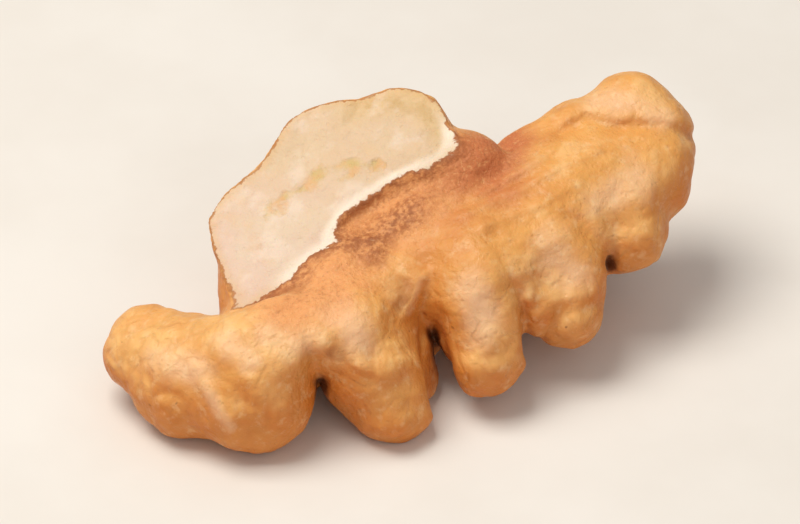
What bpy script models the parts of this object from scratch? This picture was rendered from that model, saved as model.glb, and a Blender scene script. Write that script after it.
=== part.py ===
"""Walnut kernel: one broken quarter of a kernel, lying on its rounded, folded outer side.

The kernel is one solid. It is laid out in millimetres in a working frame whose X runs along the
front row of lobes' picture width and whose Y runs away from the front, and it is then turned about
Z so that its longest side lies along X. Each fold (gyrus) is a run of balls joined by cones. The
folds are fused with a voxel remesh, as the real ones have grown together. The pale break, where the
kernel snapped off its other half, is cut before the folds that stand in front of it are added.
"""

import math

import bmesh
import bpy
from mathutils import Matrix, Vector

# ---- driving dimensions ----
MM = 0.001
TURN = math.radians(22.0)  # the longest side's direction in the working frame, about +Z
CENTRE = (0.463, 10.166)  # working-frame point above which the part's origin stands, mm
SEAT = 0.36  # height in the working frame of the plane that the kernel rests on, mm
FUSE = 0.42  # voxel of the fused solid, mm
SOFTEN = 6  # rounds of smoothing after fusing
KEEP = 0.24  # share of the fused solid's faces that is kept
BREAK_POINT = (-3.5, 9.5, 10.0)  # a point on the pale break, mm
BREAK_SLOPE = (-0.207, -0.43)  # the break's fall per mm along X and Y, as its normal leans

# Each run is a list of (x, y, z, radius) in mm.
# The thick middle of the kernel, under the brown inner side.
CORE = [
    [(-6.5, 6.2, 4.2, 3.2), (-1.5, 8.2, 5.2, 3.7), (3.5, 10.4, 5.9, 4.0), (8.0, 12.8, 6.3, 4.1), (12.0, 15.2, 6.9, 3.8)],
    [(-5.5, 10.2, 4.6, 3.5), (-1.0, 12.8, 5.2, 4.4), (4.5, 14.2, 5.6, 4.2)],
    [(-1.2, 6.6, 5.8, 2.7), (3.6, 8.8, 6.9, 3.0), (8.6, 12.0, 7.6, 3.0), (12.0, 14.6, 8.0, 2.9)],
]
# The neck that joined it to the other half, and the inner side's slope beside the neck.
NECK = [
    [(-7.4, 5.6, 5.2, 3.0), (-6.9, 10.5, 7.9, 3.8), (-3.7, 13.8, 9.7, 3.9), (0.1, 14.8, 11.0, 3.4)],
    [(-4.6, 5.6, 4.9, 2.6), (-2.0, 8.0, 6.2, 2.7), (1.0, 10.4, 7.6, 2.7), (3.9, 13.7, 9.9, 2.5)],
]
# The scalloped margin, from the left tip round the front to the right end.
MARGIN = [
    [(-14.6, 4.9, 3.5, 2.65), (-11.8, 2.7, 3.5, 3.4), (-8.7, 1.8, 3.9, 3.9)],
    [(-8.4, 2.2, 3.9, 3.5), (-7.6, 4.4, 3.8, 2.9)],
    [(-6.2, 2.5, 5.4, 2.5), (-4.8, 2.9, 6.0, 2.3), (-3.4, 3.6, 5.6, 2.3)],
    [(-3.2, 6.6, 6.0, 2.5), (-2.4, 4.2, 5.0, 2.8), (-1.5, 2.4, 3.4, 2.9)],
    [(-1.4, 4.4, 4.6, 2.6), (-0.7, 1.8, 2.50, 2.5), (0.0, 2.1, 2.6, 2.15)],
    [(1.0, 5.6, 3.6, 2.0), (1.3, 4.4, 2.2, 1.8)],
    [(4.6, 8.4, 7.4, 2.5), (4.6, 6.4, 6.8, 2.6), (4.7, 4.1, 3.5, 2.35)],
    [(6.8, 9.0, 7.3, 2.5), (7.2, 7.3, 5.5, 2.2)],
    [(8.4, 11.2, 7.9, 2.6), (9.5, 9.2, 6.7, 2.5), (9.7, 7.5, 4.4, 2.3)],
    [(11.4, 14.0, 8.2, 2.8), (12.9, 12.4, 7.6, 2.6), (13.4, 11.6, 6.9, 2.3)],
    [(7.8, 15.6, 9.2, 2.2), (10.8, 17.1, 9.8, 2.5), (13.5, 18.4, 10.2, 2.85), (14.8, 17.5, 9.7, 2.5)],
    [(10.5, 14.4, 7.6, 3.0), (13.9, 15.6, 8.5, 2.95)],
]
# The folds of the outer side, behind and underneath.
FOLDS = [
    [(-6.4, 9.6, 3.6, 3.1), (-6.0, 13.0, 4.8, 3.3), (-3.8, 15.0, 6.4, 3.2)],
    [(-3.6, 15.2, 3.2, 3.2), (-1.0, 16.6, 5.7, 3.3), (1.5, 16.8, 3.1, 3.2)],
    [(4.6, 16.2, 6.6, 2.9), (6.0, 17.8, 3.5, 3.0)],
    [(9.0, 17.6, 6.7, 3.0), (10.6, 17.9, 4.1, 2.8)],
    [(13.7, 16.9, 6.6, 2.7), (13.4, 15.2, 4.6, 2.4)],
    [(-6.0, 6.4, 3.0, 2.8), (-4.6, 10.4, 3.3, 2.8)],
    [(0.6, 8.2, 3.1, 2.6), (1.0, 12.0, 3.1, 2.7)],
    [(6.2, 10.8, 3.6, 2.7), (7.0, 14.0, 2.9, 2.8)],
]
# The deep furrow between the second and the third lobe of the margin.
FURROW = [[(1.0, 6.0, 7.2, 0.25), (1.5, 4.5, 5.4, 0.62), (2.0, 3.3, 4.1, 0.80), (2.3, 2.3, 2.8, 0.85)]]

NAME = "kernel"
COLLECTION = "walnut_kernel"


def clear_scene():
    for ob in list(bpy.data.objects):
        bpy.data.objects.remove(ob, do_unlink=True)


def new_collection(name):
    made = bpy.data.collections.new(name)
    bpy.context.scene.collection.children.link(made)
    return made


def principled(name, colour, roughness):
    mat = bpy.data.materials.new(name)
    mat.use_nodes = True
    shader = mat.node_tree.nodes["Principled BSDF"]
    shader.inputs["Base Color"].default_value = (*colour, 1.0)
    shader.inputs["Roughness"].default_value = roughness
    shader.inputs["Metallic"].default_value = 0.0
    mat.diffuse_color = (*colour, 1.0)
    return mat


def to_part():
    """The working frame, in mm, to the part's own frame, in metres."""
    return (
        Matrix.Scale(MM, 4)
        @ Matrix.Rotation(-TURN, 4, "Z")
        @ Matrix.Translation((-CENTRE[0], -CENTRE[1], -SEAT))
    )


def add_run(bm, run, place, sides=24):
    """A ball at each point of the run, and a cone between neighbours that meets both balls."""
    for x, y, z, r in run:
        bmesh.ops.create_icosphere(bm, subdivisions=3, radius=r * MM, matrix=place @ Matrix.Translation((x, y, z)) @ Matrix.Scale(1 / MM, 4))
    for (ax, ay, az, ra), (bx, by, bz, rb) in zip(run[:-1], run[1:]):
        a, b = Vector((ax, ay, az)), Vector((bx, by, bz))
        along = b - a
        turn = along.to_track_quat("Z", "Y").to_matrix().to_4x4()
        bmesh.ops.create_cone(
            bm, cap_ends=True, cap_tris=False, segments=sides, radius1=ra * MM, radius2=rb * MM, depth=along.length * MM,
            matrix=place @ Matrix.Translation((a + b) / 2) @ turn @ Matrix.Scale(1 / MM, 4),
        )


def runs_object(name, runs, place, collection):
    bm = bmesh.new()
    for run in runs:
        add_run(bm, run, place)
    mesh = bpy.data.meshes.new(name)
    bm.to_mesh(mesh)
    bm.free()
    ob = bpy.data.objects.new(name, mesh)
    collection.objects.link(ob)
    return ob


def block(name, corner_low, corner_high, matrix, collection):
    """A box between two corners, placed by matrix."""
    bm = bmesh.new()
    low, high = Vector(corner_low), Vector(corner_high)
    size = high - low
    bmesh.ops.create_cube(bm, size=1.0, matrix=matrix @ Matrix.Translation((low + high) / 2) @ Matrix.Diagonal((*size, 1.0)))
    mesh = bpy.data.meshes.new(name)
    bm.to_mesh(mesh)
    bm.free()
    ob = bpy.data.objects.new(name, mesh)
    collection.objects.link(ob)
    ob.hide_render = True
    ob.display_type = "WIRE"
    return ob


def remesh(ob, voxel):
    mod = ob.modifiers.new("fuse", "REMESH")
    mod.mode = "VOXEL"
    mod.voxel_size = voxel * MM
    return mod


def boolean(ob, other, operation):
    mod = ob.modifiers.new(operation.lower(), "BOOLEAN")
    mod.operation = operation
    mod.solver = "EXACT"
    mod.object = other
    return mod


def apply_modifiers(ob):
    """Replaces the object's mesh with its evaluated one."""
    graph = bpy.context.evaluated_depsgraph_get()
    made = bpy.data.meshes.new_from_object(ob.evaluated_get(graph), depsgraph=graph)
    ob.modifiers.clear()
    old = ob.data
    ob.data = made
    bpy.data.meshes.remove(old)


def absorb(ob, other):
    """Adds the other object's mesh to ob's and removes the other object."""
    bm = bmesh.new()
    bm.from_mesh(ob.data)
    bm.from_mesh(other.data)
    bm.to_mesh(ob.data)
    bm.free()
    bpy.data.objects.remove(other, do_unlink=True)


def build():
    clear_scene()
    parts = new_collection(COLLECTION)
    cutters = new_collection("cutters")
    place = to_part()

    # The middle and the neck, fused, with the pale break cut across the neck.
    kernel = runs_object(NAME, CORE + NECK, place, parts)
    remesh(kernel, FUSE)
    normal = Vector((BREAK_SLOPE[0], BREAK_SLOPE[1], 1.0)).normalized()
    lean = normal.to_track_quat("Z", "Y").to_matrix().to_4x4()
    above = block("break_cutter", (-0.040, -0.040, 0.0), (0.040, 0.040, 0.030), place @ Matrix.Translation(BREAK_POINT) @ lean @ Matrix.Scale(1 / MM, 4), cutters)
    boolean(kernel, above, "DIFFERENCE")
    apply_modifiers(kernel)

    # The folds grow out of it on every other side.
    absorb(kernel, runs_object("folds", MARGIN + FOLDS, place, parts))
    remesh(kernel, FUSE)
    furrow = runs_object("furrow_cutter", FURROW, place, cutters)
    furrow.hide_render = True
    furrow.display_type = "WIRE"
    remesh(furrow, 0.2)
    boolean(kernel, furrow, "DIFFERENCE")
    apply_modifiers(kernel)
    remesh(kernel, FUSE)
    soften = kernel.modifiers.new("soften", "SMOOTH")
    soften.factor = 0.5
    soften.iterations = SOFTEN
    thin = kernel.modifiers.new("thin", "DECIMATE")
    thin.ratio = KEEP
    apply_modifiers(kernel)

    # It rests on the lowest folds, which are flat where they meet the surface.
    ground = block("ground_cutter", (-0.040, -0.040, -0.020), (0.040, 0.040, 0.0), Matrix.Identity(4), cutters)
    boolean(kernel, ground, "DIFFERENCE")

    kernel.data.materials.clear()
    kernel.data.materials.append(principled("kernel_skin", (0.78, 0.47, 0.20), 0.55))
    kernel.data.shade_smooth()
    return kernel


build()
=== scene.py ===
"""A broken piece of a walnut kernel on a plain pale floor.

The kernel's surface is the zero level of a field in millimetres: runs of balls for the folds, fused
with rounded joints, then furrows, wrinkles and the break. The field is turned into one closed mesh
with even faces, and what each point is (skin, flesh, furrow, inner side) goes to the material as
point attributes. A cavity measure and a convexity measure go with them; the material uses them to
paint shade into the furrows and highlight onto the crowns.
"""
import math

import bpy
import numpy as np
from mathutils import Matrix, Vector


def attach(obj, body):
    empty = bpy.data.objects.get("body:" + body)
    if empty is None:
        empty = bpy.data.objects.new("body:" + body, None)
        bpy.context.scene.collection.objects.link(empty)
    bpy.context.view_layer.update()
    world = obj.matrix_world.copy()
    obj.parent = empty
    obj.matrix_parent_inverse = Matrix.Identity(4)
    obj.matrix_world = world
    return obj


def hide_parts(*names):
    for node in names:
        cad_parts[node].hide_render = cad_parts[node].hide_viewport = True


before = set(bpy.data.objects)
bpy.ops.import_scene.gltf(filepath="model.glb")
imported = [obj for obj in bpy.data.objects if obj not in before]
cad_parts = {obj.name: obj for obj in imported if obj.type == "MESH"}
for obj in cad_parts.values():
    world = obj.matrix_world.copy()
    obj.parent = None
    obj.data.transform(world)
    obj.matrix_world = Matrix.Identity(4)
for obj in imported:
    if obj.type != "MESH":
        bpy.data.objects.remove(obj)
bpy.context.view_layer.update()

# ---------------------------------------------------------------- dimensions
TURN = math.radians(22.0)  # working frame to part frame, about Z
CENTRE = (0.463, 10.166)  # mm, working frame
SEAT = 0.36  # mm, the resting plane in the working frame
STEP = 0.17  # mm, spacing of the grid that the surface is read from
RISE = math.radians(36.0)  # the front view looks down by this much

# The folds, as in the solid: runs of (x, y, z, radius) in mm, with the rounding of their joint.
CORE = [
    [(-6.5, 6.2, 4.2, 3.2), (-1.5, 8.2, 5.2, 3.7), (3.5, 10.4, 5.9, 4.0), (8.0, 12.8, 6.3, 4.1), (12.0, 15.2, 6.9, 3.8)],
    [(-5.5, 10.2, 4.6, 3.5), (-1.0, 12.8, 5.2, 4.4), (4.5, 14.2, 5.6, 4.2)],
    [(-1.2, 6.6, 5.8, 2.5), (3.6, 8.8, 6.8, 2.9), (8.6, 12.0, 7.5, 2.9), (12.0, 14.6, 7.9, 2.8)],
]
NECK = [(-7.4, 5.6, 5.2, 3.0), (-6.9, 10.5, 7.9, 3.8), (-3.7, 13.8, 9.7, 3.9), (0.1, 14.8, 11.0, 3.4)]
SLOPE = [(-4.6, 5.6, 4.9, 2.6), (-2.0, 8.0, 6.2, 2.7), (1.0, 10.4, 7.6, 2.7), (3.9, 13.7, 9.9, 2.5)]
MARGIN = [
    ([(-14.6, 4.9, 3.5, 2.65), (-11.8, 2.7, 3.5, 3.4), (-8.7, 1.8, 3.9, 3.9)], 0.5),
    ([(-8.4, 2.2, 3.9, 3.5), (-7.6, 4.4, 3.8, 2.9)], 1.0),
    ([(-6.2, 2.5, 5.4, 2.5), (-4.8, 2.9, 6.0, 2.3), (-3.4, 3.6, 5.6, 2.3)], 0.9),
    ([(-3.2, 6.6, 6.0, 2.5), (-2.4, 4.2, 5.0, 2.8), (-1.5, 2.4, 3.4, 2.9)], 0.5),
    ([(-1.4, 4.4, 4.6, 2.6), (-0.7, 1.8, 2.50, 2.5), (0.0, 2.1, 2.6, 2.15)], 0.4),
    ([(1.0, 5.6, 3.6, 2.0), (1.3, 4.4, 2.2, 1.8)], 0.5),
    ([(4.6, 8.4, 7.4, 2.5), (4.6, 6.4, 6.8, 2.6), (4.7, 4.1, 3.5, 2.35)], 0.45),
    ([(6.8, 9.0, 7.3, 2.5), (7.2, 7.3, 5.5, 2.2)], 0.6),
    ([(8.4, 11.2, 7.9, 2.6), (9.5, 9.2, 6.7, 2.5), (9.7, 7.5, 4.4, 2.3)], 0.45),
    ([(11.4, 14.0, 8.2, 2.8), (12.9, 12.4, 7.6, 2.6), (13.4, 11.6, 6.9, 2.3)], 0.45),
    ([(7.8, 15.6, 9.2, 2.2), (10.8, 17.1, 9.8, 2.5), (13.5, 18.4, 10.2, 2.85), (15.0, 17.5, 9.7, 2.55)], 0.35),
    ([(10.5, 14.4, 7.6, 3.0), (14.1, 15.6, 8.5, 3.0)], 0.5),
]
FOLDS = [
    [(-6.4, 9.6, 3.6, 3.1), (-6.0, 13.0, 4.8, 3.3), (-3.8, 15.0, 6.4, 3.2)],
    [(-3.6, 15.2, 3.2, 3.2), (-1.0, 16.6, 5.7, 3.3), (1.5, 16.8, 3.1, 3.2)],
    [(4.6, 16.2, 6.6, 2.9), (6.0, 17.8, 3.5, 3.0)],
    [(9.0, 17.6, 6.7, 3.0), (10.6, 17.9, 4.1, 2.8)],
    [(13.7, 16.9, 6.6, 2.7), (13.4, 15.2, 4.6, 2.4)],
    [(-6.0, 6.4, 3.0, 2.8), (-4.6, 10.4, 3.3, 2.8)],
    [(0.6, 8.2, 3.1, 2.6), (1.0, 12.0, 3.1, 2.7)],
    [(6.2, 10.8, 3.6, 2.7), (7.0, 14.0, 2.9, 2.8)],
    [(3.4, 17.2, 4.6, 1.9), (3.9, 17.8, 3.4, 1.9)],
]
FURROW = [(1.32, 5.2, 5.9, 0.10), (1.6, 4.6, 4.9, 0.50), (2.0, 3.3, 4.1, 0.80), (2.3, 2.3, 2.8, 0.85)]
BREAK_POINT = np.array([-3.5, 9.5, 10.0])
BREAK_NORMAL = np.array([-0.207, -0.43, 1.0])
BREAK_NORMAL /= np.linalg.norm(BREAK_NORMAL)

# Lines on the front, as (u, v) in mm on the plane that faces the front view: u across, v up.
# Each is (points, depth where it starts, depth where it ends, width); a negative depth is a ridge.
CREASES = [
    ([(-4.7, 4.2), (-4.9, 5.2), (-5.3, 6.4), (-5.2, 7.6)], 0.28, 0.02, 0.45),
    ([(2.5, 3.0), (2.15, 5.0), (1.85, 6.3), (1.62, 7.1), (1.15, 7.7)], 2.9, 0.50, 0.64),
    ([(1.1, 7.9), (1.50, 9.2), (1.9, 9.9), (2.6, 10.7)], 0.26, 0.05, 0.38),
    ([(7.4, 5.8), (7.3, 7.3), (6.9, 8.7), (6.1, 10.4), (5.5, 11.9)], 0.42, 0.04, 0.42),
    ([(12.0, 10.9), (11.5, 11.9), (10.5, 13.1), (9.3, 13.8)], 0.30, 0.05, 0.42),
    ([(9.4, 18.4), (10.8, 19.2), (12.5, 18.75), (15.2, 18.85), (16.9, 18.3)], 0.32, 0.34, 0.46),
    ([(-11.7, 4.8), (-10.7, 3.2), (-9.4, 1.0)], -0.30, -0.20, 0.50),
    ([(-9.9, 4.6), (-9.0, 3.2), (-8.2, 1.6)], 0.30, 0.24, 0.75),
    ([(-13.4, 3.4), (-12.6, 2.4), (-11.9, 1.9)], 0.18, 0.10, 0.55),
    ([(3.6, 13.6), (6.9, 15.1), (9.3, 16.5), (11.5, 17.4)], -0.14, -0.19, 0.30),
    ([(4.8, 13.0), (7.9, 14.2), (10.4, 15.5)], -0.16, -0.07, 0.32),
    ([(4.3, 14.6), (6.8, 16.1), (8.9, 17.5)], -0.17, -0.14, 0.27),
    ([(0.45, 7.9), (0.85, 9.1), (1.1, 9.9)], -0.24, -0.12, 0.50),
    ([(-3.6, 3.0), (-2.9, 5.2), (-2.2, 7.2)], -0.12, -0.15, 0.9),
    ([(1.6, 10.9), (3.4, 11.4), (5.0, 12.3)], 0.14, 0.05, 0.5),
    ([(-3.6, 4.9), (-1.4, 4.7), (0.8, 5.0)], -0.30, -0.30, 0.80),
    ([(-3.4, 2.6), (-0.8, 2.1), (1.4, 2.6)], 0.16, 0.16, 0.70),
    ([(7.7, 8.9), (9.6, 8.7), (11.6, 9.2)], -0.20, -0.20, 0.70),
]


# ---------------------------------------------------------------- noise
def hashed(i, j, k, seed):
    with np.errstate(over="ignore"):
        n = i.astype(np.uint32) * np.uint32(73856093) ^ j.astype(np.uint32) * np.uint32(19349663) ^ k.astype(np.uint32) * np.uint32(83492791)
        n ^= np.uint32((seed * 2654435761) & 0xFFFFFFFF)
        n = (n ^ (n >> np.uint32(13))) * np.uint32(1274126177)
        n ^= n >> np.uint32(16)
        n *= np.uint32(2246822519)
        n ^= n >> np.uint32(15)
    return n


def noise(p, size, seed=0):
    """Smooth gradient noise about -1 to 1, with features of about this size. p is (3, n)."""
    q = p / size + 64.0
    base = np.floor(q).astype(np.int64)
    f = (q - base).astype(np.float32)
    w = f * f * f * (f * (f * 6 - 15) + 10)
    total = 0
    for a in (0, 1):
        for b in (0, 1):
            for c in (0, 1):
                n = hashed(base[0] + a, base[1] + b, base[2] + c, seed)
                gx = (n & np.uint32(1023)).astype(np.float32) / 511.5 - 1
                gy = ((n >> np.uint32(10)) & np.uint32(1023)).astype(np.float32) / 511.5 - 1
                gz = ((n >> np.uint32(20)) & np.uint32(1023)).astype(np.float32) / 511.5 - 1
                dot = gx * (f[0] - a) + gy * (f[1] - b) + gz * (f[2] - c)
                wx = w[0] if a else 1 - w[0]
                wy = w[1] if b else 1 - w[1]
                wz = w[2] if c else 1 - w[2]
                total = total + wx * wy * wz * dot
    return total * 1.5


def layered(p, size, seed=0, octaves=3, fade=0.5):
    total, amount = 0, 1.0
    for o in range(octaves):
        total = total + amount * noise(p, size * 0.5**o, seed + 17 * o)
        amount *= fade
    return total


def step(a, b, x):
    t = np.clip((x - a) / (b - a), 0, 1)
    return t * t * (3 - 2 * t)


# ---------------------------------------------------------------- field
def join(a, b, k):
    h = np.clip(0.5 + 0.5 * (b - a) / k, 0, 1)
    return b * (1 - h) + a * h - k * h * (1 - h)


def meet(a, b, k):
    return -join(-a, -b, k)


def cone(p, a, b):
    (ax, ay, az, ra), (bx, by, bz, rb) = a, b
    dx, dy, dz = bx - ax, by - ay, bz - az
    px, py, pz = p[0] - ax, p[1] - ay, p[2] - az
    t = np.clip((px * dx + py * dy + pz * dz) / (dx * dx + dy * dy + dz * dz), 0, 1)
    return np.sqrt((px - t * dx) ** 2 + (py - t * dy) ** 2 + (pz - t * dz) ** 2) - (ra + (rb - ra) * t)


def run(p, points, k):
    d = cone(p, points[0], points[1])
    for a, b in zip(points[1:-1], points[2:]):
        d = join(d, cone(p, a, b), k)
    return d


def facing(p):
    """(u, v) on the plane that faces the front view, and the distance behind it, w."""
    s, c = math.sin(RISE), math.cos(RISE)
    return p[0], p[1] * s + p[2] * c, p[1] * c - p[2] * s


def in_front(p):
    """1 on the side that the front view sees, 0 on the side behind."""
    u, v, w = facing(p)
    return step(1.2, -1.2, w - (0.6 + 0.04 * u + 0.45 * v))


def line(u, v, points, start, end, width):
    """Depth of a crease along the points, fading across its width."""
    best, depth = None, None
    lengths = [math.dist(a, b) for a, b in zip(points[:-1], points[1:])]
    total, gone = sum(lengths), 0.0
    for (ax, ay), (bx, by), n in zip(points[:-1], points[1:], lengths):
        t = np.clip(((u - ax) * (bx - ax) + (v - ay) * (by - ay)) / n**2, 0, 1)
        d = np.hypot(u - ax - t * (bx - ax), v - ay - t * (by - ay))
        along = (gone + t * n) / total
        here = start + (end - start) * along
        if best is None:
            best, depth = d, here
        else:
            closer = d < best
            best, depth = np.where(closer, d, best), np.where(closer, here, depth)
        gone += n
    return depth * np.exp(-((best / width) ** 2))


def valley(value, width):
    """1 along the noise's zero line, falling off to each side, with a rounded bottom."""
    return np.exp(-(np.sqrt(value * value + 0.0016) - 0.04) / width)


def break_height(p):
    """Signed distance over the break's uneven face."""
    flat = sum((p[i] - BREAK_POINT[i]) * BREAK_NORMAL[i] for i in range(3))
    return flat + 0.34 * noise(p, 4.2, 31) + 0.16 * noise(p, 1.9, 32) + 0.05 * noise(p, 0.7, 33)


def field(p, full=False):
    """The kernel's surface is where this is zero; inside is negative. p is (3, n) in mm."""
    p = p.astype(np.float32)
    warp = np.stack([noise(p, 5.5, 1 + i) for i in range(3)]) * 0.55 + np.stack([noise(p, 2.3, 4 + i) for i in range(3)]) * 0.18
    q = p + warp
    u, v, w = facing(p)
    front = in_front(p)
    top = step(-1.0, 3.0, p[2] - (6.6 + 0.22 * (p[1] - 6.0)))

    core = run(q, CORE[0], 2.0)
    core = join(core, run(q, CORE[1], 2.0), 1.0)
    core = join(core, run(q, CORE[2], 1.5), 0.8)
    neck = join(run(q, NECK, 1.5), run(q, SLOPE, 1.5), 1.0)
    cut = break_height(p)
    rest = None
    for points, k in MARGIN:
        d = run(q, points, 0.8)
        rest = d if rest is None else join(rest, d, k + 1.8 * top)
    for points in FOLDS:
        rest = join(rest, run(q, points, 0.8), 0.45)
    rest = join(rest, core, 0.8 + 0.9 * top)
    broken = meet(neck, cut, 0.22)
    skin = join(rest, broken, 0.7)
    flesh = np.minimum(cut - neck, rest - broken)  # over 0 on the break

    # Folds of the outer side: narrow winding furrows between rounded ridges.
    wind = noise(p + 1.6 * np.stack([noise(p, 4.0, 11 + i) for i in range(3)]), 5.4, 21)
    fine = noise(p + 0.8 * np.stack([noise(p, 2.5, 14 + i) for i in range(3)]), 3.1, 23)
    off_break = step(0.5, 2.2, -cut)
    behind = step(-0.2, 2.8, w - (0.6 + 0.04 * u + 0.45 * v)) * off_break
    furrows = 1.35 * valley(wind, 0.15) + 0.42 * valley(fine, 0.17)
    shallow = 0.07 * valley(fine, 0.13) * step(9.5, 6.0, p[2]) + 0.05 * valley(wind, 0.10)
    on_skin = step(0.25, -0.25, flesh)
    skin = skin + furrows * behind + shallow * front * on_skin

    # Creases and ridges of the front.
    for points, start, end, width in CREASES:
        skin = skin + line(u, v, points, start, end, width) * front * on_skin
    skin = meet(skin, -run(p, FURROW, 0.3), 0.35)

    # Wrinkles.
    ripple = np.sin(10.0 * u + 2.0 * noise(p, 2.2, 41)) * (np.exp(-(((u + 14.5) / 1.3) ** 2 + ((v - 4.1) / 1.1) ** 2)) + np.exp(-(((u + 8.9) / 1.6) ** 2 + ((v - 2.8) / 1.5) ** 2)))
    grain = 0.07 * noise(p, 1.7, 51) + 0.045 * noise(p, 0.85, 52) + 0.022 * noise(p, 0.45, 53)
    skin = skin + on_skin * (grain + 0.035 * ripple * front)
    skin = skin + (1 - on_skin) * (0.035 * noise(p, 0.8, 61) + 0.02 * noise(p, 0.4, 62))
    lip = 0.07 * np.exp(-(((flesh + 0.12) / 0.16) ** 2)) * step(2.0, 0.5, np.abs(cut))
    skin = skin - lip

    skin = meet(skin, SEAT - p[2], 0.25)
    if full:
        return skin, {"flesh": flesh, "cut": cut, "front": front, "u": u, "v": v, "w": w, "wind": wind, "fine": fine, "top": top}
    return skin


def in_pieces(f, p, size=400_000):
    return np.concatenate([f(p[:, i : i + size]) for i in range(0, p.shape[1], size)])


def read_grid(low, high, h):
    """The field on a grid, in full near the surface and by its sign elsewhere."""
    n = [int(math.ceil((b - a) / h)) // 4 * 4 + 5 for a, b in zip(low, high)]
    axes = [low[i] + h * np.arange(n[i], dtype=np.float32) for i in range(3)]
    coarse = [a[::4] for a in axes]
    grid = np.stack(np.meshgrid(*coarse, indexing="ij")).reshape(3, -1)
    rough = in_pieces(field, grid).reshape([len(c) for c in coarse])
    near = np.abs(rough) < 4 * h * 1.9 + 0.5
    for axis in range(3):
        grown = near.copy()
        low_half = [slice(None)] * 3
        high_half = [slice(None)] * 3
        low_half[axis], high_half[axis] = slice(0, -1), slice(1, None)
        grown[tuple(low_half)] |= near[tuple(high_half)]
        grown[tuple(high_half)] |= near[tuple(low_half)]
        near = grown
    index = [np.minimum(np.round(np.arange(m) / 4).astype(int), len(c) - 1) for m, c in zip(n, coarse)]
    values = rough[np.ix_(*index)].copy()
    todo = near[np.ix_(*index)]
    where = np.argwhere(todo)
    points = np.stack([axes[i][where[:, i]] for i in range(3)])
    values[todo] = in_pieces(field, points)
    return values, axes


def nets(values, axes, h):
    """One vertex in each cell that the surface crosses, and one quad for each grid edge that it crosses.
    Also returns which grid corners, inside and outside, each quad lies between."""
    cells = tuple(m - 1 for m in values.shape)
    total = np.zeros(cells + (3,), np.float32)
    count = np.zeros(cells, np.float32)
    found = []
    for axis in range(3):
        near = [slice(None)] * 3
        far = [slice(None)] * 3
        near[axis], far[axis] = slice(0, -1), slice(1, None)
        a, b = values[tuple(near)], values[tuple(far)]
        crossing = (a < 0) != (b < 0)
        index = np.argwhere(crossing)
        place = index.astype(np.float32)
        place[:, axis] += a[crossing] / (a[crossing] - b[crossing])
        one, two = [x for x in range(3) if x != axis]
        for d1 in (0, -1):
            for d2 in (0, -1):
                cell = index.copy()
                cell[:, one] += d1
                cell[:, two] += d2
                good = ((cell >= 0) & (cell < np.array(cells))).all(axis=1)
                key = tuple(cell[good].T)
                np.add.at(total, key, place[good])
                np.add.at(count, key, 1)
        found.append((axis, index, a[crossing] < 0))
    used = count > 0
    ids = np.full(cells, -1, np.int64)
    ids[used] = np.arange(used.sum())
    points = total[used] / count[used][:, None] * h + np.array([a[0] for a in axes], np.float32)
    quads, ends = [], []
    for axis, index, inner in found:
        one, two = (axis + 1) % 3, (axis + 2) % 3
        low_end = np.ravel_multi_index(tuple(index.T), values.shape)
        past = index.copy()
        past[:, axis] += 1
        high_end = np.ravel_multi_index(tuple(past.T), values.shape)
        end = np.stack([np.where(inner, low_end, high_end), np.where(inner, high_end, low_end)], axis=1)
        corners = []
        for d1, d2 in ((-1, -1), (0, -1), (0, 0), (-1, 0)):
            cell = index.copy()
            cell[:, one] += d1
            cell[:, two] += d2
            good = ((cell >= 0) & (cell < np.array(cells))).all(axis=1)
            got = np.full(len(cell), -1, np.int64)
            got[good] = ids[tuple(cell[good].T)]
            corners.append(got)
        quad = np.stack(corners, axis=1)
        quad[~inner] = quad[~inner][:, ::-1]
        kept = (quad >= 0).all(axis=1)
        quads.append(quad[kept])
        ends.append(end[kept])
    return points, np.concatenate(quads), np.concatenate(ends)


def part_sheets(points, quads, ends):
    """Gives each sheet its own vertices where two sheets run through one cell, so that every edge has two faces."""
    a, b = quads, np.roll(quads, -1, axis=1)
    node = np.arange(quads.size).reshape(quads.shape)
    next_node = np.roll(node, -1, axis=1)
    key = (np.minimum(a, b).astype(np.int64) * len(points) + np.maximum(a, b)).ravel()
    low_node = np.where(a < b, node, next_node).ravel()
    high_node = np.where(a < b, next_node, node).ravel()
    side = np.zeros(len(key), np.int64)  # which end, inside or outside, keeps two faces together
    face = np.repeat(np.arange(len(quads)), 4)
    best = None
    for _ in range(4):
        order = np.lexsort((ends[face, side], key))
        first, second = order[0::2], order[1::2]
        x = np.concatenate([low_node[first], high_node[first]])
        y = np.concatenate([low_node[second], high_node[second]])
        label = np.arange(quads.size)
        while True:
            low = np.minimum(label[x], label[y])
            new = label.copy()
            np.minimum.at(new, x, low)
            np.minimum.at(new, y, low)
            new = new[new]
            if (new == label).all():
                break
            label = new
        names, fresh = np.unique(label, return_inverse=True)
        fresh = fresh.reshape(quads.shape)
        fa, fb = fresh, np.roll(fresh, -1, axis=1)
        edge = (np.minimum(fa, fb).astype(np.int64) * len(names) + np.maximum(fa, fb)).ravel()
        _, back, uses = np.unique(edge, return_inverse=True, return_counts=True)
        crowded = uses[back.ravel()] > 2
        if best is None or crowded.sum() < best[0]:
            best = (crowded.sum(), points[quads.ravel()[names]], fresh)
        if not crowded.any():
            break
        side = np.where(np.isin(key, key[crowded]), 1 - side, side)
    print("edges shared by over two faces:", int(best[0]) // 4)
    return best[1], best[2]


def largest_piece(points, quads):
    """Leaves out specks that the furrows cut free."""
    label = np.arange(len(points))
    a = quads.ravel()
    b = np.roll(quads, 1, axis=1).ravel()
    while True:
        low = np.minimum(label[a], label[b])
        new = label.copy()
        np.minimum.at(new, a, low)
        np.minimum.at(new, b, low)
        new = new[new]
        if (new == label).all():
            break
        label = new
    names, counts = np.unique(label, return_counts=True)
    keep = label == names[counts.argmax()]
    order = np.cumsum(keep) - 1
    return points[keep], order[quads[keep[quads[:, 0]]]]


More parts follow.
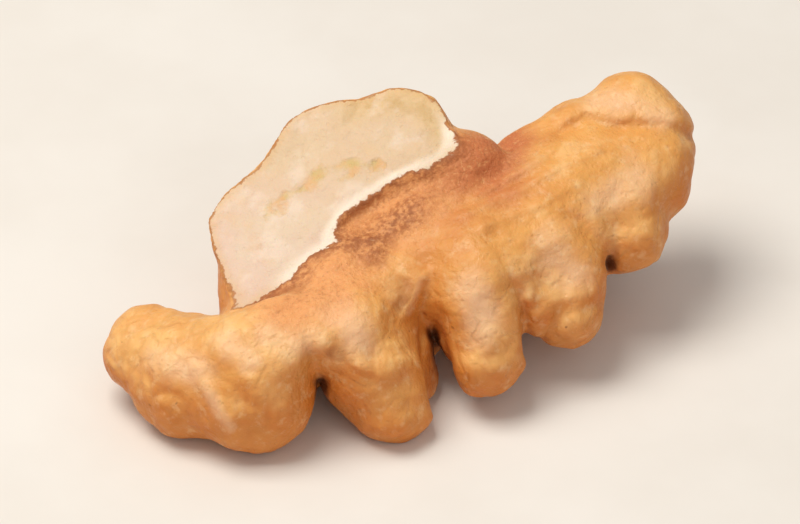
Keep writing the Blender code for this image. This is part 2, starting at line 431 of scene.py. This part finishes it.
def settle(points, quads, rounds=2):
    """Evens the faces out, and puts every vertex back on the surface."""
    a = np.concatenate([quads[:, i] for i in range(4)])
    b = np.concatenate([quads[:, (i + 1) % 4] for i in range(4)])
    for _ in range(rounds):
        total, count = np.zeros_like(points), np.zeros(len(points), np.float32)
        np.add.at(total, a, points[b])
        np.add.at(count, a, 1)
        np.add.at(total, b, points[a])
        np.add.at(count, b, 1)
        points = 0.5 * points + 0.5 * total / count[:, None]
        p = points.T
        here = in_pieces(field, p)
        e = 0.04
        slope = []
        for i in range(3):
            move = np.zeros((3, 1), np.float32)
            move[i] = e
            slope.append((in_pieces(field, p + move) - in_pieces(field, p - move)) / (2 * e))
        slope = np.stack(slope, axis=1)
        size = np.maximum((slope**2).sum(axis=1, keepdims=True), 0.25)
        shift = here[:, None] * slope / size
        length = np.linalg.norm(shift, axis=1, keepdims=True)
        points = points - shift * np.minimum(1, 0.12 / np.maximum(length, 1e-6))
    return points.astype(np.float32)


def to_part(points):
    """Working frame in mm to part frame in metres."""
    c, s = math.cos(TURN), math.sin(TURN)
    x, y, z = points[:, 0] - CENTRE[0], points[:, 1] - CENTRE[1], points[:, 2] - SEAT
    return np.stack([c * x + s * y, -s * x + c * y, z], axis=1) * 0.001


def turned(vector):
    """A direction of the working frame in the part frame."""
    x, y, z = vector
    c, s = math.cos(TURN), math.sin(TURN)
    return Vector((c * x + s * y, -s * x + c * y, z))


def build_kernel():
    h = STEP
    values, axes = read_grid((-19.2, -3.4, -0.4), (18.9, 23.4, 15.6), h)
    points, quads = part_sheets(*nets(values, axes, h))
    points, quads = largest_piece(points, quads)
    points = settle(points, quads)
    mesh = bpy.data.meshes.new("walnut_kernel")
    mesh.from_pydata(to_part(points).tolist(), [], quads.tolist())
    mesh.validate()
    mesh.shade_smooth()
    piece = bpy.data.objects.new("walnut_kernel", mesh)
    bpy.context.scene.collection.objects.link(piece)
    print("kernel:", len(points), "points", len(quads), "quads")
    return piece, points


# ---------------------------------------------------------------- what each point is
BAND = [(-6.2, 8.9), (-4.1, 10.5), (-2.3, 12.2), (0.3, 14.2), (2.9, 16.1), (5.6, 17.3)]  # (u, v), mm
CHAIN = [(-7.7, 13.8), (-6.0, 15.0), (-4.3, 16.15), (-2.9, 16.3), (-1.5, 16.6)]  # (u, v), mm
EDGE = [(-6.2, 10.0), (-4.4, 11.6), (-4.1, 13.0), (-2.5, 14.9), (0.0, 16.4), (2.9, 18.4)]  # the break's near edge, (u, v), mm
CREST = [(-5.5, 19.0), (-3.2, 20.4), (-1.2, 21.0), (1.3, 20.8), (3.0, 19.0)]  # the break's far edge, (u, v), mm
PAINTED_HIGHLIGHTS = [  # ((u, v) points, reach, strength) of the painted highlights on the crests, mm
    ([(-13.8, 5.6), (-12.4, 4.9), (-11.3, 4.6)], 1.20, 1.0),
    ([(-11.4, 4.4), (-10.5, 2.9), (-9.6, 1.4)], 0.50, 0.85),
    ([(-9.8, 6.4), (-8.6, 5.4)], 1.30, 1.0),
    ([(-4.1, 8.1), (-2.9, 7.7), (-2.4, 6.6)], 1.50, 1.0),
    ([(0.5, 8.0), (0.95, 9.1), (1.2, 9.9)], 0.35, 0.8),
    ([(4.0, 9.5), (4.6, 8.4), (4.9, 6.8)], 1.45, 1.0),
    ([(8.6, 12.0), (9.6, 10.2)], 1.50, 1.0),
    ([(-7.5, 6.8), (-6.2, 6.2), (-5.0, 6.8)], 1.40, 1.0),
    ([(11.5, 14.5), (13.5, 15.6)], 1.60, 1.0),
    ([(11.5, 20.2), (13.8, 20.4), (15.4, 19.4)], 1.20, 1.0),
]
TAN = [(1.2, 10.9), (3.0, 12.1), (5.4, 14.2), (7.4, 15.4)]  # (u, v) of the orange cast below the inner side, mm
HEART = (-2.5, 12.0)  # (u, v) that the skin's streaks radiate from, mm


def distance_to(u, v, points):
    best = None
    for (ax, ay), (bx, by) in zip(points[:-1], points[1:]):
        n = (bx - ax) ** 2 + (by - ay) ** 2
        t = np.clip(((u - ax) * (bx - ax) + (v - ay) * (by - ay)) / n, 0, 1)
        d = np.hypot(u - ax - t * (bx - ax), v - ay - t * (by - ay))
        best = d if best is None else np.minimum(best, d)
    return best


def describe(mesh, points):
    """Writes what the material reads: each is a number, or a vector, at each point."""
    p = points.T.astype(np.float32)
    normals = np.empty(len(mesh.vertices) * 3, np.float32)
    mesh.vertices.foreach_get("normal", normals)
    normals = normals.reshape(-1, 3)
    c, s = math.cos(TURN), math.sin(TURN)
    n = np.stack([c * normals[:, 0] - s * normals[:, 1], s * normals[:, 0] + c * normals[:, 1], normals[:, 2]])

    def full(q):
        size, parts = 400_000, []
        for i in range(0, q.shape[1], size):
            parts.append(field(q[:, i : i + size], True)[1])
        return {k: np.concatenate([x[k] for x in parts]) for k in parts[0]}

    facts = full(p)
    # Cavity measure, which the material uses to paint shade into the furrows.
    crease_shade = np.zeros(len(points), np.float32)
    # Convexity measure, which the material uses to paint highlight onto the crowns.
    crown_highlight = np.zeros(len(points), np.float32)
    for d, share in ((0.3, 0.40), (0.7, 0.35), (1.4, 0.25)):
        crease_shade += share * np.clip((d - in_pieces(field, p + n * d)) / d, 0, 1)
        crown_highlight += share * np.clip((d + in_pieces(field, p - n * d)) / d, 0, 1)
    u, v, w = facts["u"], facts["v"], facts["w"]
    faces_front = n[1] * -math.cos(RISE) + n[2] * math.sin(RISE)
    seen = step(-0.15, 0.35, faces_front) * facts["front"]
    # Faces up, and a little to the left towards the key lamp; the material paints the other sides darker orange as
    # painted shade.
    upper = step(0.0, 0.90, n[2] - 0.12 * n[0])
    band = np.exp(-((distance_to(u, v, BAND) / 2.5) ** 2)) * seen
    # Painted highlight: lit patches on the crests.
    pale = np.zeros(len(points), np.float32)
    for places, reach, strength in PAINTED_HIGHLIGHTS:
        pale = np.maximum(pale, strength * np.exp(-((distance_to(u, v, places) / reach) ** 2)))
    pale *= seen
    angle = np.arctan2(v - HEART[1], u - HEART[0])
    radius = np.hypot(u - HEART[0], v - HEART[1])
    flow = np.stack([np.cos(angle) * 9.0, np.sin(angle) * 9.0, radius * 0.5 + w * 0.3], axis=1) * 0.001
    for name, values in (
        ("flesh", np.clip(facts["flesh"], -4, 4)),
        ("crease_shade", crease_shade),
        ("crown_highlight", crown_highlight),
        ("seen", seen),
        ("upper", upper),
        ("band", band),
        ("pale", pale),
        ("edge", np.exp(-((distance_to(u, v, EDGE) / 1.2) ** 2))),
        ("crest", step(2.2, 0.6, distance_to(u, v, CREST)) * step(-4.5, -2.0, u)),
        ("tan", np.exp(-((distance_to(u, v, TAN) / 1.5) ** 2)) * seen),
        ("across", u * 0.001),
        ("height", v * 0.001),
        ("chain", np.exp(-((distance_to(u, v, CHAIN) / 0.75) ** 2))),
    ):
        mesh.attributes.new(name, "FLOAT", "POINT").data.foreach_set("value", values.astype(np.float32))
    mesh.attributes.new("flow", "FLOAT_VECTOR", "POINT").data.foreach_set("vector", flow.astype(np.float32).ravel())


# ---------------------------------------------------------------- materials
def colour(text):
    """An sRGB colour, as six hex digits, in linear light."""
    parts = [int(text[i : i + 2], 16) / 255 for i in (0, 2, 4)]
    return tuple(x / 12.92 if x <= 0.04045 else ((x + 0.055) / 1.055) ** 2.4 for x in parts) + (1.0,)


class Tree:
    """Shorthand for a material's nodes."""

    def __init__(self, material):
        material.use_nodes = True
        self.tree = material.node_tree
        self.shader = self.tree.nodes["Principled BSDF"]
        self.place = self.add("ShaderNodeTexCoord").outputs["Object"]

    def add(self, kind, **settings):
        node = self.tree.nodes.new(kind)
        for key, value in settings.items():
            setattr(node, key, value)
        return node

    def put(self, socket, value):
        if isinstance(value, bpy.types.NodeSocket):
            self.tree.links.new(value, socket)
        else:
            socket.default_value = value

    def attribute(self, name, vector=False):
        return self.add("ShaderNodeAttribute", attribute_name=name).outputs["Vector" if vector else "Fac"]

    def math(self, operation, a, b=0.0, c=None, clamp=False):
        node = self.add("ShaderNodeMath", operation=operation, use_clamp=clamp)
        self.put(node.inputs[0], a)
        self.put(node.inputs[1], b)
        if c is not None:
            self.put(node.inputs[2], c)
        return node.outputs[0]

    def ramp(self, value, low, high, out_low=0.0, out_high=1.0, smooth=True):
        node = self.add("ShaderNodeMapRange", interpolation_type="SMOOTHSTEP" if smooth else "LINEAR", clamp=True)
        for socket, x in zip(node.inputs, (value, low, high, out_low, out_high)):
            self.put(socket, x)
        return node.outputs[0]

    def mix(self, share, a, b, blend="MIX"):
        node = self.add("ShaderNodeMix", data_type="RGBA", blend_type=blend, clamp_factor=True)
        self.put(node.inputs["Factor"], share)
        self.put(node.inputs[6], a)
        self.put(node.inputs[7], b)
        return node.outputs[2]

    def noise(self, size, detail=3.0, rough=0.55, at=None, distortion=0.0):
        """Noise with features of this size in metres, from 0 to 1."""
        node = self.add("ShaderNodeTexNoise", noise_dimensions="3D")
        self.put(node.inputs["Vector"], self.place if at is None else at)
        self.put(node.inputs["Scale"], 1 / size)
        self.put(node.inputs["Detail"], detail)
        self.put(node.inputs["Roughness"], rough)
        self.put(node.inputs["Distortion"], distortion)
        return node.outputs["Fac"]

    def cells(self, size, feature="F1", at=None, output="Distance"):
        node = self.add("ShaderNodeTexVoronoi", feature=feature)
        self.put(node.inputs["Vector"], self.place if at is None else at)
        self.put(node.inputs["Scale"], 1 / size)
        return node.outputs[output]

    def warped(self, size, amount, at=None):
        """Coordinates pushed about by noise, in metres."""
        node = self.add("ShaderNodeTexNoise", noise_dimensions="3D")
        self.put(node.inputs["Vector"], self.place if at is None else at)
        self.put(node.inputs["Scale"], 1 / size)
        self.put(node.inputs["Detail"], 2.0)
        shift = self.add("ShaderNodeVectorMath", operation="SUBTRACT")
        self.put(shift.inputs[0], node.outputs["Color"])
        self.put(shift.inputs[1], (0.5, 0.5, 0.5))
        scaled = self.add("ShaderNodeVectorMath", operation="SCALE")
        self.put(scaled.inputs[0], shift.outputs[0])
        self.put(scaled.inputs["Scale"], amount * 2)
        total = self.add("ShaderNodeVectorMath", operation="ADD")
        self.put(total.inputs[0], self.place if at is None else at)
        self.put(total.inputs[1], scaled.outputs[0])
        return total.outputs[0]

    def bump(self, height, distance, strength=1.0, under=None):
        node = self.add("ShaderNodeBump")
        self.put(node.inputs["Height"], height)
        self.put(node.inputs["Distance"], distance)
        self.put(node.inputs["Strength"], strength)
        if under is not None:
            self.put(node.inputs["Normal"], under)
        return node.outputs["Normal"]


def kernel_material():
    mat = bpy.data.materials.new("walnut_kernel")
    t = Tree(mat)
    flesh, crease_shade, crown_highlight = t.attribute("flesh"), t.attribute("crease_shade"), t.attribute("crown_highlight")
    upper, band, seen = t.attribute("upper"), t.attribute("band"), t.attribute("seen")
    flow = t.attribute("flow", True)
    mm = 0.001

    # Skin: honey, with painted highlight on the crowns, painted shade in deeper gold and orange on the sides that face
    # down, and painted shade in brown in the furrows.
    broad = t.noise(7.0 * mm, 2.0)
    middle = t.noise(2.4 * mm, 3.0)
    small = t.noise(0.7 * mm, 4.0, 0.6)
    skin = t.mix(t.ramp(broad, 0.35, 0.68), colour("E6A659"), colour("F0BA72"))
    skin = t.mix(t.ramp(middle, 0.42, 0.70, 0.0, 0.50), skin, colour("E0974A"))
    # Painted highlight: the convex crowns are lightened.
    skin = t.mix(t.ramp(crown_highlight, 0.12, 0.50, 0.0, 0.40), skin, colour("F6CC93"))
    # Painted shade: the sides that face down are painted deeper orange.
    painted_shade_lower = t.math("SUBTRACT", 1.0, upper)
    highlight_and_mottle = t.ramp(t.math("ADD", t.attribute("pale"), t.math("MULTIPLY", t.math("SUBTRACT", middle, 0.5), 1.3)), 0.25, 1.30, 0.0, 0.62)
    skin = t.mix(t.math("MULTIPLY", painted_shade_lower, t.ramp(middle, 0.3, 0.7, 0.70, 0.95)), skin, colour("C9701F"))
    streak = t.noise(0.95 * mm, 2.0, 0.5, at=flow, distortion=0.2)
    skin = t.mix(t.math("MULTIPLY", t.ramp(streak, 0.48, 0.70), t.math("MULTIPLY", seen, 0.27)), skin, colour("C47E36"))
    # Painted highlight: pale streaks, laid only where the skin faces up.
    skin = t.mix(t.math("MULTIPLY", t.ramp(streak, 0.48, 0.30), t.math("MULTIPLY", seen, t.math("MULTIPLY", upper, 0.32))), skin, colour("F5CF93"))

    # Painted highlight on the crests, mixed with random pale mottle.
    skin = t.mix(highlight_and_mottle, skin, colour("F6CEA7"))
    skin = t.mix(t.math("MULTIPLY", t.attribute("tan"), t.ramp(middle, 0.35, 0.65, 0.55, 0.90)), skin, colour("D48B47"))

    # Veins: fine branching darker lines.
    bent = t.warped(2.2 * mm, 0.9 * mm)
    veins = t.cells(3.4 * mm, "DISTANCE_TO_EDGE", at=bent)
    vein = t.ramp(veins, 0.0, 0.05, 1.0, 0.0)
    vein = t.math("MULTIPLY", vein, t.ramp(t.noise(3.0 * mm, 1.0), 0.42, 0.62, 0.0, 0.45))
    vein = t.math("MULTIPLY", vein, t.ramp(seen, 0.0, 1.0, 1.0, 0.22))
    skin = t.mix(vein, skin, colour("A5622C"))

    # Soft shallow wrinkles, and pores.
    folded = t.noise(1.5 * mm, 1.5, 0.5, at=t.warped(2.6 * mm, 0.6 * mm))
    net = t.ramp(t.math("ABSOLUTE", t.math("SUBTRACT", folded, 0.5)), 0.0, 0.09, 1.0, 0.0)
    net = t.math("MULTIPLY", net, t.ramp(broad, 0.35, 0.65, 0.3, 1.0))
    skin = t.mix(t.math("MULTIPLY", net, 0.16), skin, colour("C27B38"))
    pores = t.cells(0.42 * mm, at=t.warped(0.9 * mm, 0.2 * mm))
    skin = t.mix(t.math("MULTIPLY", t.ramp(pores, 0.12, 0.30, 1.0, 0.0), t.ramp(small, 0.45, 0.65, 0.0, 0.30)), skin, colour("C0772F"))
    skin = t.mix(t.ramp(small, 0.52, 0.72, 0.0, 0.22), skin, colour("FADDAE"))

    # The brown inner side beside the break, grainy, redder towards its upper end.
    grain = t.noise(0.28 * mm, 3.0, 0.65)
    clump = t.noise(1.1 * mm, 3.0, 0.6)
    brown = t.mix(t.ramp(t.attribute("across"), 0.0, 5.0 * mm), colour("E8A063"), colour("C46E42"))
    brown = t.mix(t.ramp(clump, 0.45, 0.68, 0.0, 0.30), brown, colour("C4763F"))
    brown = t.mix(t.ramp(grain, 0.53, 0.70, 0.0, 0.40), brown, colour("A0592E"))
    brown = t.mix(t.ramp(grain, 0.46, 0.30, 0.0, 0.45), brown, colour("F0B478"))
    share = t.ramp(t.math("ADD", band, t.math("MULTIPLY", t.math("SUBTRACT", middle, 0.5), 0.9)), 0.08, 0.95)
    skin = t.mix(t.math("MULTIPLY", share, 0.92), skin, brown)
    beside = t.math("MULTIPLY", t.ramp(flesh, -0.75, -0.10), seen)
    beside = t.math("MULTIPLY", beside, t.ramp(t.math("ADD", grain, clump), 0.80, 1.15, 0.25, 0.85))
    skin = t.mix(t.math("MULTIPLY", beside, t.ramp(band, 0.1, 0.6)), skin, colour("A05A2E"))

    # Painted shade: the furrows and hollows are darkened by the cavity measure.
    skin = t.mix(t.ramp(crease_shade, 0.30, 0.58, 0.0, 0.70), skin, colour("A05A28"))
    skin = t.mix(t.ramp(crease_shade, 0.50, 0.82, 0.0, 0.85), skin, colour("5F2F15"))

    # Specks.
    spots = t.cells(1.25 * mm, at=t.warped(1.0 * mm, 0.3 * mm))
    pick = t.add("ShaderNodeTexVoronoi", feature="F1")
    t.put(pick.inputs["Vector"], t.place)
    t.put(pick.inputs["Scale"], 1 / (1.25 * mm))
    speck = t.math("MULTIPLY", t.ramp(spots, 0.05, 0.11, 1.0, 0.0), t.ramp(t.noise(2.0 * mm, 1.0), 0.55, 0.62))
    skin = t.mix(t.math("MULTIPLY", speck, 0.7), skin, colour("6E3A1A"))

    # Flesh: cream, with a chain of yellow-green pits, a tanned strip along its top and a thin brown edge.
    cream = t.mix(t.ramp(t.noise(3.0 * mm, 3.0), 0.35, 0.65), colour("DEC7AE"), colour("DEC2AE"))
    cream = t.mix(t.ramp(t.attribute("height"), 11.5 * mm, 17.5 * mm, 0.0, 0.62), cream, colour("D6B88E"))
    cream = t.mix(t.math("MULTIPLY", t.attribute("crest"), 0.85), cream, t.mix(t.ramp(t.noise(1.2 * mm, 3.0), 0.4, 0.6), colour("C9A56C"), colour("D9B988")))
    cream = t.mix(t.ramp(t.noise(1.6 * mm, 3.0), 0.48, 0.72, 0.0, 0.45), cream, colour("DDBB93"))
    cream = t.mix(t.ramp(t.noise(2.1 * mm, 4.0), 0.50, 0.34, 0.0, 0.45), cream, colour("EBD9C8"))
    near = t.attribute("edge")
    cream = t.mix(t.math("MULTIPLY", near, t.ramp(flesh, 0.75, 0.20, 0.0, 0.85)), cream, colour("F4E6D4"))
    chain = t.math("ADD", t.attribute("chain"), t.math("MULTIPLY", t.math("SUBTRACT", t.noise(0.95 * mm, 3.0), 0.5), 2.2))
    chain = t.math("MULTIPLY", chain, t.ramp(t.attribute("chain"), 0.1, 0.5))
    cream = t.mix(t.ramp(chain, 0.55, 1.30, 0.0, 0.75), cream, t.mix(t.ramp(t.noise(1.0 * mm, 2.0), 0.4, 0.6), colour("CDB06A"), colour("DDA866")))
    cream = t.mix(t.math("MULTIPLY", t.math("SUBTRACT", 1.0, near), t.ramp(flesh, 0.60, 0.05, 0.0, 0.45)), cream, colour("D9B07A"))
    ragged = t.math("ADD", flesh, t.math("MULTIPLY", t.math("SUBTRACT", t.noise(0.55 * mm, 3.0, 0.6), 0.5), 0.75))
    ragged = t.math("MINIMUM", ragged, t.math("ADD", flesh, 0.10))
    is_flesh = t.ramp(ragged, -0.02, 0.05)
    rim = t.math("MULTIPLY", t.ramp(ragged, -0.22, -0.03), t.ramp(ragged, 0.08, 0.01))
    whole = t.mix(is_flesh, skin, cream)
    whole = t.mix(t.math("MULTIPLY", rim, 0.65), whole, colour("9A5A30"))
    t.put(t.shader.inputs["Base Color"], whole)

    rough = t.ramp(t.noise(0.9 * mm, 3.0), 0.3, 0.7, 0.40, 0.58)
    rough = t.math("ADD", rough, t.math("MULTIPLY", is_flesh, 0.14), clamp=True)
    rough = t.math("ADD", rough, t.math("MULTIPLY", share, 0.12), clamp=True)
    t.put(t.shader.inputs["Roughness"], rough)
    t.shader.inputs["Specular IOR Level"].default_value = 0.42
    t.shader.inputs["Subsurface Weight"].default_value = 0.13
    t.shader.inputs["Subsurface Radius"].default_value = (1.0, 0.48, 0.22)
    t.shader.inputs["Subsurface Scale"].default_value = 1.3 * mm

    # Relief too fine for the mesh.
    wrinkle = t.noise(0.5 * mm, 4.0, 0.6, at=t.warped(1.4 * mm, 0.5 * mm))
    wrinkle = t.math("ADD", t.math("MULTIPLY", wrinkle, 1.3), t.math("MULTIPLY", t.math("MULTIPLY", net, t.math("SUBTRACT", 1.0, is_flesh)), -0.50))
    height = t.math("ADD", wrinkle, t.math("MULTIPLY", vein, -0.5))
    on_skin = t.math("SUBTRACT", 1.0, is_flesh)
    height = t.math("ADD", height, t.math("MULTIPLY", streak, t.math("MULTIPLY", seen, t.math("MULTIPLY", on_skin, 0.25))))
    height = t.math("ADD", height, t.math("MULTIPLY", t.ramp(chain, 0.55, 1.30), t.math("MULTIPLY", is_flesh, -1.0)))
    height = t.math("ADD", height, t.math("MULTIPLY", t.math("MULTIPLY", grain, share), 1.2))
    height = t.math("ADD", height, t.ramp(pores, 0.10, 0.35, -0.25, 0.0))
    normal = t.bump(height, 0.09 * mm, 0.9)
    normal = t.bump(t.noise(0.16 * mm, 2.0), 0.012 * mm, 0.8, under=normal)
    t.put(t.shader.inputs["Normal"], normal)
    return mat


def floor_material():
    mat = bpy.data.materials.new("floor")
    t = Tree(mat)
    tone = t.mix(t.ramp(t.noise(0.02, 4.0), 0.35, 0.65), colour("E4E0DA"), colour("E9E6E1"))
    t.put(t.shader.inputs["Base Color"], tone)
    t.shader.inputs["Roughness"].default_value = 0.75
    t.put(t.shader.inputs["Normal"], t.bump(t.noise(0.0012, 3.0), 0.00002, 0.4))
    return mat


# ---------------------------------------------------------------- scene
def main():
    piece, points = build_kernel()
    describe(piece.data, points)
    piece.data.materials.append(kernel_material())
    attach(piece, "root")
    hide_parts("kernel")

    bpy.ops.mesh.primitive_plane_add(size=3.0, location=(0, 0, 0))
    floor = bpy.context.object
    floor.name = "floor"
    floor.data.materials.append(floor_material())

    scene = bpy.context.scene
    scene.view_settings.view_transform = "Standard"
    world = bpy.data.worlds.new("studio")
    scene.world = world
    world.use_nodes = True
    world.node_tree.nodes["Background"].inputs[0].default_value = (1.0, 0.97, 0.93, 1)
    world.node_tree.nodes["Background"].inputs[1].default_value = 0.40

    def lamp(name, place, size, power, tint, target=(0, 0, 0.005)):
        data = bpy.data.lights.new(name, "AREA")
        data.size = size
        data.energy = power
        data.color = tint
        ob = bpy.data.objects.new(name, data)
        ob.location = turned(place)
        ob.rotation_euler = (Vector(target) - ob.location).to_track_quat("-Z", "Y").to_euler()
        scene.collection.objects.link(ob)

    lamp("key", (-0.11, 0.0, 0.29), 0.18, 0.80, (1.0, 0.94, 0.86))
    lamp("fill", (0.12, -0.27, 0.16), 0.25, 0.18, (1.0, 0.96, 0.91))

    data = bpy.data.cameras.new("camera")
    camera = bpy.data.objects.new("camera", data)
    scene.collection.objects.link(camera)
    data.lens, data.sensor_width, data.clip_start, data.clip_end = 280, 36, 0.01, 10
    look = turned((0, math.cos(RISE), -math.sin(RISE)))
    aim = Vector(to_part(np.array([[0.0, 9.4, 6.65]]))[0].tolist())
    camera.location = aim - look * (800 / 17.2 * 0.001 / 36 * data.lens)
    camera.rotation_euler = look.to_track_quat("-Z", "Y").to_euler()
    scene.camera = camera


main()
